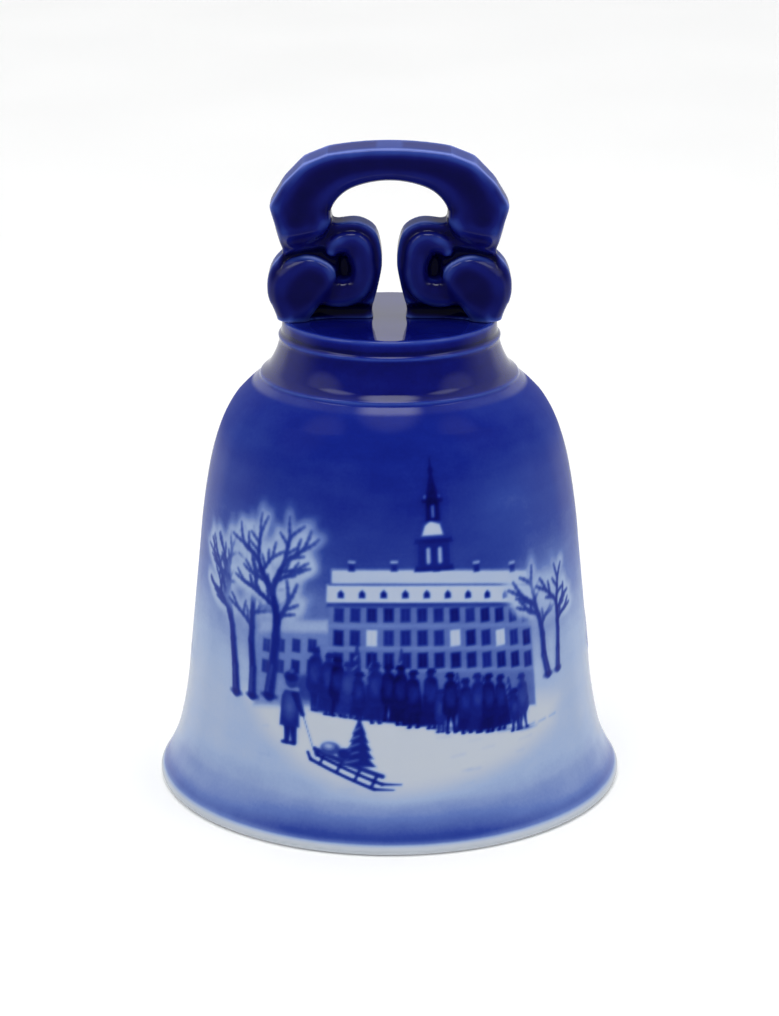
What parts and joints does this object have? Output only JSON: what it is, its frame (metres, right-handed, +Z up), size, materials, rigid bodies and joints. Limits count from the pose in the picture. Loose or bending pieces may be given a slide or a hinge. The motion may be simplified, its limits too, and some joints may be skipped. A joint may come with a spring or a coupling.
{
  "type": "hand bell",
  "caption": "Small porcelain hand bell with a pierced scroll handle and a clapper hung inside on a wire chain; it rings when the clapper swings against the wall.",
  "frame": {"origin": "centre of the foot rim, at table level", "axes": "+Z up along the bell's axis; the handle lies across X; the painted side faces -Y"},
  "size_m": [0.0946, 0.0946, 0.13],
  "materials": {
    "painted_glaze": "gloss",
    "cobalt_glaze": "gloss",
    "white_glaze": "gloss",
    "plaster": "matte",
    "wire": "satin"
  },
  "bodies": {
    "bell": {"bell_shell": "painted_glaze", "handle": "cobalt_glaze", "hanger_plug": "plaster", "hanger_staple": "wire"},
    "link_1": {"chain_link_1": "wire"},
    "link_2": {"chain_link_2": "wire"},
    "link_3": {"chain_link_3": "wire"},
    "link_4": {"chain_link_4": "wire"},
    "link_5": {"chain_link_5": "wire"},
    "clapper": {"clapper_eye": "wire", "clapper": "white_glaze"}
  },
  "joints": [
    {"name": "staple_link_1", "type": "hinge", "parent": "bell", "child": "link_1", "pos_m": [0, 0, 0.0836], "axis": [1, 0, 0], "range_deg": [-24.5, 24.5]},
    {"name": "link_1_link_2", "type": "hinge", "parent": "link_1", "child": "link_2", "pos_m": [0, 0, 0.073], "axis": [0, 1, 0], "range_deg": [-29, 29]},
    {"name": "link_2_link_3", "type": "hinge", "parent": "link_2", "child": "link_3", "pos_m": [0, 0, 0.0624], "axis": [-1, 0, 0], "range_deg": [-36.5, 36.5]},
    {"name": "link_3_link_4", "type": "hinge", "parent": "link_3", "child": "link_4", "pos_m": [0, 0, 0.0518], "axis": [0, -1, 0], "range_deg": [-50, 50]},
    {"name": "link_4_link_5", "type": "hinge", "parent": "link_4", "child": "link_5", "pos_m": [0, 0, 0.0412], "axis": [-1, 0, 0], "range_deg": [-80, 80]},
    {"name": "link_5_clapper", "type": "hinge", "parent": "link_5", "child": "clapper", "pos_m": [0, 0, 0.0306], "axis": [0, -1, 0], "range_deg": [-75, 75]}
  ]
}
